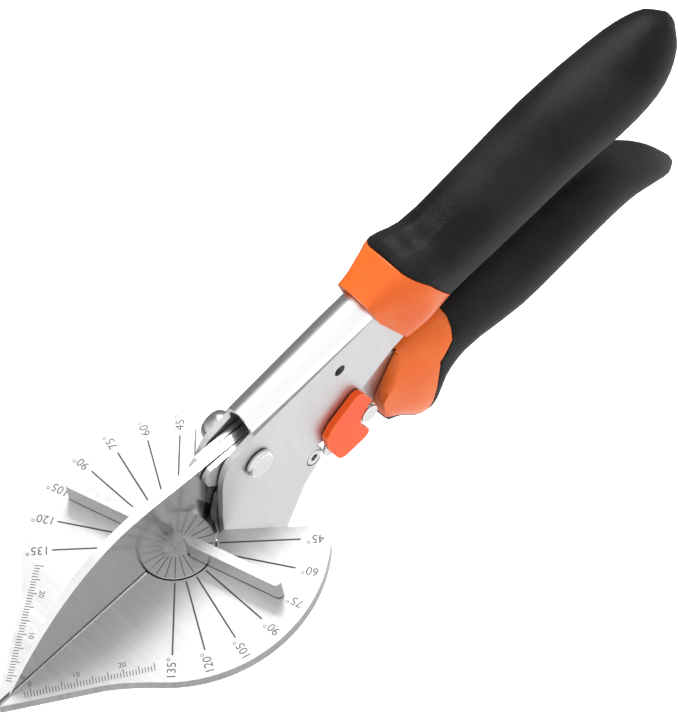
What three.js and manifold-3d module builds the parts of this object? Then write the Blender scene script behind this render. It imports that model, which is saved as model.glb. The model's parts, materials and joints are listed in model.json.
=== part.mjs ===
// Multi-angle mitre shear: a hand shear whose blade closes on a protractor plate.
// Sizes are in millimetres. X is to the right, Y runs back towards the grips and Z is up.
// Pieces are drawn from the centre of the protractor, at the height of the plate's top face.
import * as THREE from 'three';
import { mergeVertices } from 'three/addons/utils/BufferGeometryUtils.js';
import Module from 'manifold-3d';

const wasm = await Module();
wasm.setup();

// Fits
const gap = 0.3;                      // between pieces that touch

// Protractor plate and turntable
const plateThickness = 3;
const lobeRadius = 36.8;              // round side lobes of the plate
const lobeEndAngle = 138;             // degrees from +Y where a lobe turns into the nose
const noseLength = 58;                // protractor centre to the tip
const rearSetback = 5;                // how far the 45 degree rear edges cross the centre line behind the centre
const rearCornerRadius = 6;
const discRadius = 9.3;
const discClearance = 0.45;
const throatClearance = 0.4;          // beside the walls, where the plate straddles them
const grooveWidth = 1.2;
const grooveDepth = 0.7;
const studRadius = 3;
const studLength = 12.5;
const washerThickness = 1;
const turntableWasherRadius = 5.4;
const turntableNutRadius = 5;
const turntableNutHeight = 4;

// Fence
const fenceThickness = 2.6;
const fenceHeight = 6;
const fenceReach = 30;
const fenceStart = 2.9;
const fenceAngle = 75;                // degrees from +Y at rest
const fencePointLength = 2.2;         // the wedge at a bar's inner end
const tenonSetback = 1.2;             // from the bar's inner end to its tenon
const tenonThickness = 1.6;
const tenonDepth = 2;
const tenonLength = 5;

// Blade
const bladeLength = 108.5;
const bladeThickness = 2.4;
const bladeWidth = 24.2;
const edgeThickness = 0.4;
const edgeHeight = 0.3;               // above the plate when closed
const bladeHoleAlong = 78.5;            // tip to hole
const bladeHoleAcross = 13.3;         // edge to hole
const slotAlong = 92.4;               // tip to the closed end of the slot
const slotAcross = 8.5;
const slotWidth = 5.6;

// Pivot
const pivotY = 24.5;
const pivotRadius = 3;
const pivotHeadRadius = 4;
const pivotHeadHeight = 1.5;
const pivotNutRadius = 4.6;
const pivotNutHeight = 5;
const pivotNutCrown = 1.6;            // closed end of the cap nut
const pivotWasherRadius = 5.6;
const boltTipSetback = 1.5;           // from the end of the nut's bore

// Body channel
const wallOuter = 5;                  // outer half-width over the walls
const wallThickness = 1.5;
const creaseStep = 0.35;              // the round back is set in from the walls
const backFrontY = 25.5;              // where the round back starts
const backFrontZ = 24.5;              // height of its axis there
const backRearY = 65;
const backRearZ = 28.3;
const backTaper = 0.06;               // narrower in front and wider behind by this share
const tangEndY = 132;
const tangBottomZ = 19;
const gaugeHoleY = 52.6;
const gaugeHoleZ = 20;
const gaugeHoleRadius = 1.6;

// Plate carrier
const carrierThickness = 2.7;
const carrierHalfWidth = 17;
const carrierFrontY = -19;
const keelClearance = 0.4;            // each side, between the keel and the walls
const rivetRadius = 1.6;
const rivetHeadRadius = 2.4;
const rivetHeadHeight = 1;
const screwRadius = 1.4;
const screwHeadRadius = 2.6;
const screwHeadHeight = 1.6;
const screwBite = 2;                  // into the plate
const screwSlotWidth = 0.8;
const screwSlotDepth = 0.7;
const keelBottomZ = -23.4;
const keelFrontY = 16;
const keelRearY = 30;
const earTopZ = 10;

// Lever
const cheekThickness = 1.4;
const cheekDrop = 2.7;                // top of the cheeks below the blade's spine
const legRadius = 4.2;                // round the latch pin
const leverTangEndY = 126;
const latchPinY = 56.4;
const latchPinZ = -3;
const latchPinRadius = 1.5;
const latchPinHeadRadius = 2.4;
const latchPinHeadHeight = 0.9;
const drivePinRadius = 2.5;
const drivePinClearance = 0.6;        // between its ends and the walls

// Return spring
const springY = 62;
const springRadius = 2.5;
const springWire = 0.9;
const springTurns = 5;
const springHeadroom = 0.68;          // between the top coil and the round back
const seatThickness = 1.2;

// Safety latch
const latchPlateThickness = 0.8;
const latchGripThickness = 2;
const latchBarHalfWidth = 2.6;
const catchY = 39.8;
const catchZ = -4.8;
const catchRadius = 2.2;
const catchBore = 1;

// Handles
const coreFrontY = 90;                // the grip's core fills the tang's hollow from here back

// Heights and places that follow from the sizes above
const bladeInner = bladeThickness / 2;
const cheekInner = bladeInner + gap;
const cheekOuter = cheekInner + cheekThickness;
const wallInner = wallOuter - wallThickness;
const keelHalfWidth = wallInner - keelClearance;
const drivePinEnd = wallInner - drivePinClearance;
const pivotZ = edgeHeight + bladeHoleAcross;
const tipY = pivotY - bladeHoleAlong;
const carrierTopZ = -plateThickness - gap;
const carrierBottomZ = carrierTopZ - carrierThickness;
const drivePinY = tipY + slotAlong + drivePinRadius + gap;
const drivePinZ = edgeHeight + slotAcross;
const latchInner = wallOuter + gap;
const cheekTopZ = edgeHeight + bladeWidth - cheekDrop;

// Materials
const finish = (color, roughness, metalness) => new THREE.MeshStandardMaterial({ color, roughness, metalness });
const chrome = finish(0xdfe2e4, 0.12, 1);
const satinSteel = finish(0xcfd2d3, 0.35, 1);
const darkSteel = finish(0x8f9294, 0.4, 1);
const orangePlastic = finish(0xf07830, 0.35, 0);
const latchPlastic = finish(0xff5518, 0.3, 0);
const blackRubber = finish(0x26282a, 0.8, 0);

const tool = new THREE.Group();
tool.position.set(0, -(keelFrontY + keelRearY) / 2, -keelBottomZ);

// Turns a closed three.js geometry into a solid for joining and cutting.
function solid(geometry) {
  const bare = geometry.clone();
  bare.deleteAttribute('normal');
  bare.deleteAttribute('uv');
  const merged = mergeVertices(bare, 1e-5);
  return new wasm.Manifold(new wasm.Mesh({
    numProp: 3,
    vertProperties: new Float32Array(merged.attributes.position.array),
    triVerts: new Uint32Array(merged.index.array),
  }));
}

function add(name, shape, material, parent = tool) {
  const { vertProperties, triVerts } = shape.getMesh();
  const geometry = new THREE.BufferGeometry();
  geometry.setAttribute('position', new THREE.BufferAttribute(vertProperties, 3));
  geometry.setIndex(new THREE.BufferAttribute(triVerts, 1));
  geometry.computeVertexNormals();
  const mesh = new THREE.Mesh(geometry, material);
  mesh.name = name;
  parent.add(mesh);
  return mesh;
}

const axesYZX = new THREE.Matrix4().makeBasis(
  new THREE.Vector3(0, 1, 0), new THREE.Vector3(0, 0, 1), new THREE.Vector3(1, 0, 0));

function outline(points) {
  return new THREE.Shape(points.map(([a, b]) => new THREE.Vector2(a, b)));
}

// A side outline drawn in (Y, Z), made solid from x0 to x1.
function sidePlate(shape, x0, x1, curveSegments = 12) {
  const geometry = new THREE.ExtrudeGeometry(shape, { depth: x1 - x0, bevelEnabled: false, curveSegments });
  geometry.translate(0, 0, x0);
  geometry.applyMatrix4(axesYZX);
  return solid(geometry);
}

// A plan outline drawn in (X, Y), made solid from z0 to z1.
function flatPlate(shape, z0, z1, curveSegments = 12) {
  const geometry = new THREE.ExtrudeGeometry(shape, { depth: z1 - z0, bevelEnabled: false, curveSegments });
  geometry.translate(0, 0, z0);
  return solid(geometry);
}

function box(x0, x1, y0, y1, z0, z1) {
  const geometry = new THREE.BoxGeometry(x1 - x0, y1 - y0, z1 - z0);
  geometry.translate((x0 + x1) / 2, (y0 + y1) / 2, (z0 + z1) / 2);
  return solid(geometry);
}

// A pin along X with its axis at (y, z), and one along Z with its axis at (x, y).
function crossPin(y, z, radius, x0, x1, sides = 20) {
  const geometry = new THREE.CylinderGeometry(radius, radius, x1 - x0, sides);
  geometry.rotateZ(Math.PI / 2);
  geometry.translate((x0 + x1) / 2, y, z);
  return solid(geometry);
}

function uprightPin(x, y, radius, z0, z1, sides = 20) {
  const geometry = new THREE.CylinderGeometry(radius, radius, z1 - z0, sides);
  geometry.rotateX(Math.PI / 2);
  geometry.translate(x, y, (z0 + z1) / 2);
  return solid(geometry);
}

// A turned piece along X: profile points are (radius, distance), and direction is +1 or -1.
function turned(points, y, z, x, direction, sides = 22) {
  const profile = points.map(([r, d]) => new THREE.Vector2(r, d));
  const geometry = new THREE.LatheGeometry(profile, sides);
  geometry.rotateZ(-direction * Math.PI / 2);
  geometry.translate(x, y, z);
  return solid(geometry);
}

function stadium(y0, z0, y1, z1, radius) {
  const angle = Math.atan2(z1 - z0, y1 - y0);
  const shape = new THREE.Shape();
  shape.absarc(y1, z1, radius, angle - Math.PI / 2, angle + Math.PI / 2, false);
  shape.absarc(y0, z0, radius, angle + Math.PI / 2, angle + 3 * Math.PI / 2, false);
  return shape;
}

// ---- Protractor plate -------------------------------------------------------

const degrees = Math.PI / 180;
const fromY = (angle, radius) => [radius * Math.sin(angle * degrees), radius * Math.cos(angle * degrees)];

// Where the 45 degree rear edge meets the lobe.
const rearMeetX = (-rearSetback + Math.sqrt(2 * lobeRadius ** 2 - rearSetback ** 2)) / 2;
const rearMeetAngle = Math.atan2(rearMeetX, rearMeetX + rearSetback) / degrees;
const throatHalfWidth = wallOuter + throatClearance;

function platePlan() {
  const cornerTurn = rearCornerRadius / lobeRadius / degrees;
  const [lobeStartX, lobeStartY] = fromY(rearMeetAngle + cornerTurn, lobeRadius);
  const [lobeEndX, lobeEndY] = fromY(lobeEndAngle, lobeRadius);
  const inset = rearCornerRadius * Math.SQRT1_2;
  const noseBend = [lobeEndX - 7, lobeEndY - 6];
  const toMath = (angle) => (90 - angle) * degrees;
  const shape = new THREE.Shape();
  shape.moveTo(throatHalfWidth, 0);
  shape.lineTo(throatHalfWidth, throatHalfWidth + rearSetback);
  shape.lineTo(rearMeetX - inset, rearMeetX - inset + rearSetback);
  shape.quadraticCurveTo(rearMeetX, rearMeetX + rearSetback, lobeStartX, lobeStartY);
  shape.absarc(0, 0, lobeRadius, toMath(rearMeetAngle + cornerTurn), toMath(lobeEndAngle), true);
  shape.quadraticCurveTo(...noseBend, noseBend[0] * 0.8, -noseLength + (noseLength + noseBend[1]) * 0.8);
  shape.lineTo(0.6, -noseLength);
  shape.lineTo(-0.6, -noseLength);
  shape.lineTo(-noseBend[0] * 0.8, -noseLength + (noseLength + noseBend[1]) * 0.8);
  shape.quadraticCurveTo(-noseBend[0], noseBend[1], -lobeEndX, lobeEndY);
  shape.absarc(0, 0, lobeRadius, toMath(-lobeEndAngle), toMath(-rearMeetAngle - cornerTurn), true);
  shape.quadraticCurveTo(-rearMeetX, rearMeetX + rearSetback, -rearMeetX + inset, rearMeetX - inset + rearSetback);
  shape.lineTo(-throatHalfWidth, throatHalfWidth + rearSetback);
  shape.lineTo(-throatHalfWidth, 0);
  return shape;
}

const plateScrewPlaces = [[-11.5, -12.5], [11.5, -12.5], [-12.5, 9], [12.5, 9]];

let plate = flatPlate(platePlan(), -plateThickness, 0, 18)
  .subtract(uprightPin(0, 0, discRadius + discClearance, -plateThickness - 1, 1, 36))
  .subtract(box(-throatHalfWidth, throatHalfWidth, 0, throatHalfWidth + rearSetback + 1, -plateThickness - 1, 1))
  .subtract(box(-grooveWidth / 2, grooveWidth / 2, -noseLength - 1, 0, -grooveDepth, 1));
for (const [x, y] of plateScrewPlaces) {
  plate = plate.subtract(uprightPin(x, y, screwRadius + gap, -plateThickness - 1, -plateThickness + screwBite + gap, 16));
}
add('protractor_plate', plate, satinSteel);

// ---- Plate carrier: flange under the plate, keel between the walls, two ears --

const carrierPlan = outline([
  [carrierHalfWidth, carrierFrontY + 8], [carrierHalfWidth - 6, carrierFrontY],
  [-carrierHalfWidth + 6, carrierFrontY], [-carrierHalfWidth, carrierFrontY + 8],
  [-carrierHalfWidth, carrierHalfWidth - 4], [-carrierHalfWidth + 4, carrierHalfWidth - 4],
  [-keelHalfWidth, keelHalfWidth + 4], [-keelHalfWidth, 12], [keelHalfWidth, 12],
  [keelHalfWidth, keelHalfWidth + 4], [carrierHalfWidth - 4, carrierHalfWidth - 4],
  [carrierHalfWidth, carrierHalfWidth - 4],
]);
const keelTopRearZ = -8.5;
const keelSide = outline([
  [9.9, carrierBottomZ - 0.2], [13, -14], [keelFrontY, keelBottomZ], [keelRearY, keelBottomZ],
  [32.2, -14], [31.4, keelTopRearZ], [18, keelTopRearZ], [15, carrierTopZ], [9.9, carrierTopZ],
]);
const earFrontY = discRadius + discClearance + 0.2;
const earSide = outline([
  [earFrontY, carrierTopZ - 1], [14.8, carrierTopZ - 1], [14.8, 6], [15.2, earTopZ],
  [12.9, earTopZ], [10.6, 4], [earFrontY, 0],
]);
const rivetPlaces = [[17.3, -15.5], [22, -19.6]];

let carrier = flatPlate(carrierPlan, carrierBottomZ, carrierTopZ)
  .add(sidePlate(keelSide, -keelHalfWidth, keelHalfWidth))
  .add(sidePlate(earSide, -keelHalfWidth, -cheekInner))
  .add(sidePlate(earSide, cheekInner, keelHalfWidth))
  .subtract(uprightPin(0, 0, studRadius + gap, carrierBottomZ - 1, carrierTopZ + 1));
for (const [x, y] of plateScrewPlaces) {
  carrier = carrier.subtract(uprightPin(x, y, screwRadius + gap, carrierBottomZ - 1, carrierTopZ + 1, 16));
}
for (const [y, z] of rivetPlaces) {
  carrier = carrier.subtract(crossPin(y, z, rivetRadius + gap, -wallOuter, wallOuter, 16));
}
add('plate_carrier', carrier, darkSteel);

plateScrewPlaces.forEach(([x, y], i) => {
  const headTop = carrierBottomZ - gap;
  const screw = uprightPin(x, y, screwRadius, headTop - 0.1, -plateThickness + screwBite, 16)
    .add(uprightPin(x, y, screwHeadRadius, headTop - screwHeadHeight, headTop, 20))
    .subtract(box(x - screwSlotWidth / 2, x + screwSlotWidth / 2, y - screwHeadRadius, y + screwHeadRadius,
      headTop - screwHeadHeight - 1, headTop - screwHeadHeight + screwSlotDepth));
  add(`plate_screw_${i + 1}`, screw, satinSteel);
});

['front', 'rear'].forEach((place, i) => {
  const [y, z] = rivetPlaces[i];
  const under = wallOuter + gap;
  const rivet = crossPin(y, z, rivetRadius, -under - 0.1, under + 0.1, 16)
    .add(crossPin(y, z, rivetHeadRadius, under, under + rivetHeadHeight, 20))
    .add(crossPin(y, z, rivetHeadRadius, -under - rivetHeadHeight, -under, 20));
  add(`carrier_rivet_${place}`, rivet, satinSteel);
});

// ---- Turntable and fence ------------------------------------------------------

const fenceDirection = (90 - fenceAngle) * degrees;

let disc = uprightPin(0, 0, discRadius, -plateThickness, 0, 36)
  .add(uprightPin(0, 0, studRadius, -plateThickness - studLength, -plateThickness + 0.1));
const fence = new THREE.Group();
tool.add(fence);
for (const side of [1, -1]) {
  const slot = new THREE.BoxGeometry(tenonLength + 2 * gap, tenonThickness + 2 * gap, tenonDepth + gap + 1);
  slot.translate(side * (fenceStart + tenonSetback + tenonLength / 2), 0, (1 - tenonDepth - gap) / 2);
  slot.rotateZ(fenceDirection);
  disc = disc.subtract(solid(slot));
}
add('turntable_disc', disc, satinSteel, fence);

const fencePlan = new THREE.Shape();
fencePlan.moveTo(fenceStart, 0);
fencePlan.lineTo(fenceStart + fencePointLength, -fenceThickness / 2);
fencePlan.lineTo(fenceReach - fenceThickness / 2, -fenceThickness / 2);
fencePlan.absarc(fenceReach - fenceThickness / 2, 0, fenceThickness / 2, -Math.PI / 2, Math.PI / 2, false);
fencePlan.lineTo(fenceStart + fencePointLength, fenceThickness / 2);
for (const side of ['right', 'left']) {
  const bar = flatPlate(fencePlan, gap, gap + fenceHeight, 8)
    .add(box(fenceStart + tenonSetback, fenceStart + tenonSetback + tenonLength, -tenonThickness / 2, tenonThickness / 2,
      -tenonDepth, gap + 0.1));
  const mesh = add(`fence_bar_${side}`, bar, satinSteel, fence);
  mesh.rotation.z = fenceDirection + (side === 'left' ? Math.PI : 0);
}

const washerTop = carrierBottomZ - gap;
add('turntable_washer', uprightPin(0, 0, turntableWasherRadius, washerTop - washerThickness, washerTop)
  .subtract(uprightPin(0, 0, studRadius + gap, washerTop - washerThickness - 1, washerTop + 1)), satinSteel, fence);
const nutTop = washerTop - washerThickness - gap;
add('turntable_nut', uprightPin(0, 0, turntableNutRadius, nutTop - turntableNutHeight, nutTop, 6)
  .subtract(uprightPin(0, 0, studRadius + gap, nutTop - turntableNutHeight - 1, nutTop + 1)), satinSteel, fence);

// ---- Body channel ----------------------------------------------------------------

const smooth = (t) => THREE.MathUtils.clamp(t, 0, 1);
const backAxisZ = (y) => THREE.MathUtils.lerp(backFrontZ, backRearZ, smooth((y - backFrontY) / (backRearY - backFrontY)));

// The channel's section: flat walls joined by a round back, grown by a margin.
function channelSection(margin, hollow) {
  const wall = wallOuter + margin;
  const back = wallOuter - creaseStep + margin;
  const inner = wallInner;
  const shape = new THREE.Shape();
  shape.moveTo(wall, -60);
  shape.lineTo(wall, -0.2);
  shape.lineTo(back, 0.25);
  shape.absarc(0, 0.25, back, 0, Math.PI, false);
  shape.lineTo(-wall, -0.2);
  shape.lineTo(-wall, -60);
  if (hollow) {
    shape.lineTo(-inner, -60);
    shape.absarc(0, 0.25, inner, Math.PI, 0, true);
    shape.lineTo(inner, -60);
  }
  return shape;
}

// Runs the section along Y, following the back's height and taper.
function channelRun(margin, hollow, y0, y1) {
  const geometry = new THREE.ExtrudeGeometry(channelSection(margin, hollow), {
    depth: y1 - y0, steps: 8, bevelEnabled: false, curveSegments: 12,
  });
  const position = geometry.attributes.position;
  for (let i = 0; i < position.count; i++) {
    const x = position.getX(i);
    const z = position.getY(i);
    const y = y1 - position.getZ(i);
    const t = smooth((y - backFrontY) / (backRearY - backFrontY));
    const swell = z > 0.2 ? 1 + backTaper * (2 * t - 1) : 1;
    position.setXYZ(i, x * swell, y, z * swell + backAxisZ(y));
  }
  return solid(geometry);
}

const leadIn = 9;
const wallSide = new THREE.Shape();
wallSide.moveTo(10.6, -3);
wallSide.lineTo(11.2, 3);
wallSide.lineTo(13.2, 14);
wallSide.quadraticCurveTo(14.8, 21.4, 19, 22.4);
wallSide.lineTo(backFrontY, backFrontZ - 0.8);
wallSide.lineTo(backFrontY, 60);
wallSide.lineTo(tangEndY, 60);
wallSide.lineTo(tangEndY, tangBottomZ);
wallSide.lineTo(80, tangBottomZ);
wallSide.lineTo(74.5, 11.8);
wallSide.lineTo(68, 10.2);
wallSide.lineTo(55, 4.4);
wallSide.lineTo(44.6, -1.5);
wallSide.lineTo(catchY + 1.5, catchZ + catchRadius + 1.6);
wallSide.quadraticCurveTo(catchY + catchRadius + 2, catchZ, catchY + 0.4, catchZ - catchRadius - 1);
wallSide.lineTo(35.2, -12);
wallSide.lineTo(27.6, keelBottomZ + 1);
wallSide.lineTo(keelFrontY, keelBottomZ + 1);
wallSide.lineTo(13, -14);
wallSide.lineTo(10.6, -7);

let body = channelRun(0, true, leadIn, tangEndY)
  .intersect(sidePlate(wallSide, -wallOuter - 1, wallOuter + 1))
  .subtract(crossPin(pivotY, pivotZ, pivotRadius + gap, -10, 10))
  .subtract(crossPin(gaugeHoleY, gaugeHoleZ, gaugeHoleRadius, 0, 10, 16))
  .subtract(crossPin(catchY, catchZ, catchRadius + gap, 0, 10, 20));
for (const [y, z] of rivetPlaces) {
  body = body.subtract(crossPin(y, z, rivetRadius + gap, -10, 10, 16));
}
add('body_channel', body, satinSteel);

add('latch_catch', crossPin(catchY, catchZ, catchRadius, wallInner, wallOuter, 20)
  .subtract(crossPin(catchY, catchZ, catchBore, 0, 10, 16)), chrome);

// ---- Pivot ---------------------------------------------------------------------------

const headUnder = wallOuter + gap;
const nutUnder = headUnder + washerThickness + gap;
const boltReach = wallOuter + nutUnder + pivotNutHeight - pivotNutCrown - boltTipSetback;
add('pivot_bolt', turned([
  [0, -boltReach], [pivotRadius, -boltReach],
  [pivotRadius, gap], [pivotHeadRadius, gap], [pivotHeadRadius, gap + pivotHeadHeight * 0.6],
  [pivotHeadRadius * 0.84, gap + pivotHeadHeight], [0, gap + pivotHeadHeight]], pivotY, pivotZ, wallOuter, 1), satinSteel);
add('pivot_washer', crossPin(pivotY, pivotZ, pivotWasherRadius, -headUnder - washerThickness, -headUnder)
  .subtract(crossPin(pivotY, pivotZ, pivotRadius + gap, -20, 0)), satinSteel);
add('pivot_nut', turned([
  [pivotRadius + gap, 0], [pivotNutRadius, 0], [pivotNutRadius, pivotNutHeight * 0.45],
  [pivotNutRadius * 0.8, pivotNutHeight * 0.85], [pivotNutRadius * 0.45, pivotNutHeight], [0, pivotNutHeight],
  [0, pivotNutHeight - 1], [pivotRadius + gap, pivotNutHeight - pivotNutCrown], [pivotRadius + gap, 0]],
  pivotY, pivotZ, -nutUnder, -1), satinSteel);

// ---- Lever: two cheeks, blade, drive pin, spacer ---------------------------------------

const lever = new THREE.Group();
tool.add(lever);

const cheekShoulder = [58, 8];
const cheekNeck = [70, 4.4];
const cheekSide = new THREE.Shape();
cheekSide.moveTo(11.2, 16.6);
cheekSide.quadraticCurveTo(9.6, 20.6, 13, cheekTopZ);
cheekSide.lineTo(34, cheekTopZ - 1);
cheekSide.lineTo(...cheekShoulder);
cheekSide.lineTo(...cheekNeck);
cheekSide.lineTo(75, 1.5);
cheekSide.lineTo(leverTangEndY, 1.5);
cheekSide.lineTo(leverTangEndY, -7);
cheekSide.lineTo(76, -7);
cheekSide.absarc(latchPinY, latchPinZ, legRadius, -Math.PI / 2, -Math.PI * 1.05, true);
cheekSide.lineTo(52.5, 1);
cheekSide.lineTo(40, 5.6);
cheekSide.lineTo(pivotY, pivotZ - 5.6);
cheekSide.quadraticCurveTo(pivotY - 7, pivotZ - 4.6, 11.2, 16.6);

const leverRivets = [[67, -2], [112, -2.8]];
for (const side of ['right', 'left']) {
  const [x0, x1] = side === 'right' ? [cheekInner, cheekOuter] : [-cheekOuter, -cheekInner];
  let cheek = sidePlate(cheekSide, x0, x1)
    .subtract(crossPin(pivotY, pivotZ, pivotRadius + gap, -10, 10))
    .subtract(crossPin(drivePinY, drivePinZ, drivePinRadius + gap, -10, 10, 20))
    .subtract(crossPin(latchPinY, latchPinZ, latchPinRadius + gap, -10, 10, 16));
  for (const [y, z] of leverRivets) {
    cheek = cheek.subtract(crossPin(y, z, rivetRadius + gap, -10, 10, 16));
  }
  add(`lever_cheek_${side}`, cheek, satinSteel, lever);
}

const spacerSide = outline([[60, 5], [70, 3], [74, 0.8], [leverTangEndY - 2, 0.8], [leverTangEndY - 2, -6],
  [64, -6], [61.5, -3]]);
let spacer = sidePlate(spacerSide, -bladeInner, bladeInner);
for (const [y, z] of leverRivets) {
  spacer = spacer.subtract(crossPin(y, z, rivetRadius + gap, -10, 10, 16));
}
add('lever_spacer', spacer, darkSteel, lever);
leverRivets.forEach(([y, z], i) => {
  add(`lever_rivet_${i + 1}`, crossPin(y, z, rivetRadius, -cheekOuter, cheekOuter, 16), satinSteel, lever);
});

// The blade is drawn from its tip, along the edge, and lifted to its place.
const bladeSide = new THREE.Shape();
bladeSide.moveTo(0, 0);
bladeSide.bezierCurveTo(bladeLength * 0.16, bladeWidth * 0.82, bladeLength * 0.3, bladeWidth * 1.03, bladeLength * 0.42, bladeWidth);
bladeSide.quadraticCurveTo(bladeLength * 0.49, bladeWidth * 0.985, bladeLength * 0.527, bladeWidth * 0.955);
bladeSide.lineTo(bladeLength * 0.89, bladeWidth * 0.775);
bladeSide.lineTo(bladeLength * 0.93, slotAcross + slotWidth / 2);
bladeSide.lineTo(slotAlong + slotWidth / 2, slotAcross + slotWidth / 2);
bladeSide.absarc(slotAlong + slotWidth / 2, slotAcross, slotWidth / 2, Math.PI / 2, 3 * Math.PI / 2, false);
bladeSide.lineTo(bladeLength - 2, slotAcross - slotWidth / 2);
bladeSide.quadraticCurveTo(bladeLength, 1.5, bladeLength - 3, 0);

// The ground part is wedge-shaped: thin at the edge, full thickness near the spine.
const grindEnd = [[bladeLength * 0.627, 0], [bladeLength * 0.527, bladeWidth * 0.955]];
const grindHeight = bladeWidth * 0.93;
function grindCut(side) {
  const slope = (bladeThickness - edgeThickness) / 2 / grindHeight;
  const cut = sidePlate(outline([[-1, -1], [grindEnd[0][0], -1], grindEnd[0], grindEnd[1],
    [grindEnd[1][0], bladeWidth + 2], [-1, bladeWidth + 2]]), 0, 5);
  // Leans the cutting block so that its inner face follows the wedge.
  const lean = new THREE.Matrix4().set(
    side, 0, side * slope, side * edgeThickness / 2,
    0, 1, 0, 0,
    0, 0, 1, 0,
    0, 0, 0, 1);
  return cut.transform(lean.elements);
}
const blade = sidePlate(bladeSide, -bladeInner, bladeInner, 16)
  .subtract(grindCut(1))
  .subtract(grindCut(-1))
  .subtract(crossPin(bladeHoleAlong, bladeHoleAcross, pivotRadius + gap, -5, 5))
  .translate([0, tipY, edgeHeight]);
add('blade', blade, satinSteel, lever);

add('blade_drive_pin', crossPin(drivePinY, drivePinZ, drivePinRadius, -drivePinEnd, drivePinEnd, 20), satinSteel, lever);

// ---- Return spring and its seat ------------------------------------------------------------

const seatRadius = springRadius + springWire / 2;
const cheekSlope = (cheekNeck[1] - cheekShoulder[1]) / (cheekNeck[0] - cheekShoulder[0]);
const seatZ = cheekShoulder[1] + cheekSlope * (springY - seatRadius - cheekShoulder[0]) + gap;
add('spring_seat', uprightPin(0, springY, seatRadius, seatZ, seatZ + seatThickness, 20)
  .add(box(-bladeInner, bladeInner, springY - 1.5, springY + 1.5, 5.3, seatZ + 0.1)), satinSteel, lever);

class Helix extends THREE.Curve {
  constructor(bottom, top) {
    super();
    this.bottom = bottom;
    this.top = top;
  }

  getPoint(t, target = new THREE.Vector3()) {
    const angle = 2 * Math.PI * springTurns * t;
    return target.set(springRadius * Math.cos(angle), springY + springRadius * Math.sin(angle),
      THREE.MathUtils.lerp(this.bottom, this.top, t));
  }
}
const wireSection = new THREE.Shape();
wireSection.absarc(0, 0, springWire / 2, 0, 2 * Math.PI, false);
const springBottom = seatZ + seatThickness + gap + springWire / 2;
const springTop = backAxisZ(springY) + Math.sqrt(wallInner ** 2 - seatRadius ** 2) - springHeadroom;
const springGeometry = new THREE.ExtrudeGeometry(wireSection, {
  steps: springTurns * 9, curveSegments: 3, extrudePath: new Helix(springBottom, springTop),
});
add('return_spring', solid(springGeometry), satinSteel);

// ---- Handles ---------------------------------------------------------------------------------

// A handle's sections: place along Y, height of the middle, half-width, half-height and squareness.
const upperSections = [
  [62, 22.9, 6, 11.8, 5], [68, 23, 6.9, 12.7, 4.5], [73, 24, 8.7, 13.2, 3.4], [78, 25.4, 10.6, 13, 2.6],
  [86, 24.4, 9.5, 11.8, 2.4], [105, 25.8, 9.9, 12, 2.2], [128, 28.2, 10.3, 12.3, 2.2], [147, 27.8, 10.3, 12, 2.2],
  [158, 28.8, 9, 10.4, 2.2], [165, 30.8, 6, 7, 2.2], [168.5, 32.2, 2, 2.4, 2],
];
const lowerSections = [
  [58, -5.5, 6.4, 9, 3.6], [66, -8, 7, 12.6, 3], [71, -10.6, 8, 16.2, 2.6], [75, -10.4, 8.8, 15.8, 2.5],
  [79.5, -6, 9.3, 11.6, 2.4], [86, -3.8, 9.4, 10.2, 2.3], [104, -4.6, 10.1, 11.4, 2.2], [120, -3.8, 9.9, 10.8, 2.2],
  [134, -4, 9.2, 10, 2.2], [143, -7, 7.9, 8.6, 2.2], [151.5, -13, 6.2, 7, 2.2], [157.2, -19, 4, 4.8, 2.2],
  [160.4, -22.6, 1.4, 1.8, 2],
];

// Runs a smooth body through the sections: a turned shape whose rings are given each section's size.
function handle(sections, rows, sides = 22) {
  const through = (column) => new THREE.CatmullRomCurve3(
    sections.map((s) => new THREE.Vector3(s[0], s[column], 0)), false, 'centripetal');
  const curves = [1, 2, 3, 4].map(through);
  const rings = [];
  for (let i = 0; i <= rows; i++) {
    const t = i / rows;
    rings.push({ y: curves[0].getPoint(t).x, values: curves.map((c) => c.getPoint(t).y) });
  }
  const profile = [new THREE.Vector2(0, 0), ...rings.map((_, i) => new THREE.Vector2(1, i)), new THREE.Vector2(0, rows)];
  const geometry = new THREE.LatheGeometry(profile, sides);
  const position = geometry.attributes.position;
  for (let i = 0; i < position.count; i++) {
    const ring = rings[Math.round(position.getY(i))];
    const [middle, halfWidth, halfHeight, squareness] = ring.values;
    const c = position.getX(i);
    const s = position.getZ(i);
    const bulge = (v) => Math.sign(v) * Math.abs(v) ** (2 / squareness);
    position.setXYZ(i, halfWidth * bulge(c), ring.y, middle + halfHeight * bulge(s));
  }
  return solid(geometry);
}

// Upper handle: collar in front of the slanted joint, grip behind it.
const upperJoint = [[85.6, 4], [85.2, 18], [79.6, 30.5], [75.2, 37], [74, 45]];
const upperFront = [[63, 45], [64.4, 33], [65.6, 27], [72.2, 12.4], [73.4, 4]];
const upperHollow = channelRun(gap, false, 55, tangEndY + gap)
  .intersect(sidePlate(outline([[50, 60], [tangEndY + gap, 60], [tangEndY + gap, tangBottomZ - gap],
    [80.2, tangBottomZ - gap], [74.8, 11.4], [68, 9.9], [50, 0]]), -10, 10))
  .subtract(channelRun(-wallThickness - gap, false, coreFrontY, tangEndY + 1));
const upperHandle = handle(upperSections, 30).subtract(upperHollow);
const shifted = (points, dy) => points.map(([y, z]) => [y + dy, z]);
add('upper_collar', upperHandle
  .intersect(sidePlate(outline([...upperFront, ...upperJoint]), -20, 20)), orangePlastic);
add('upper_grip', upperHandle
  .intersect(sidePlate(outline([...shifted(upperJoint, gap), [180, 45], [180, 4]].reverse()), -20, 20)), blackRubber);

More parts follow.
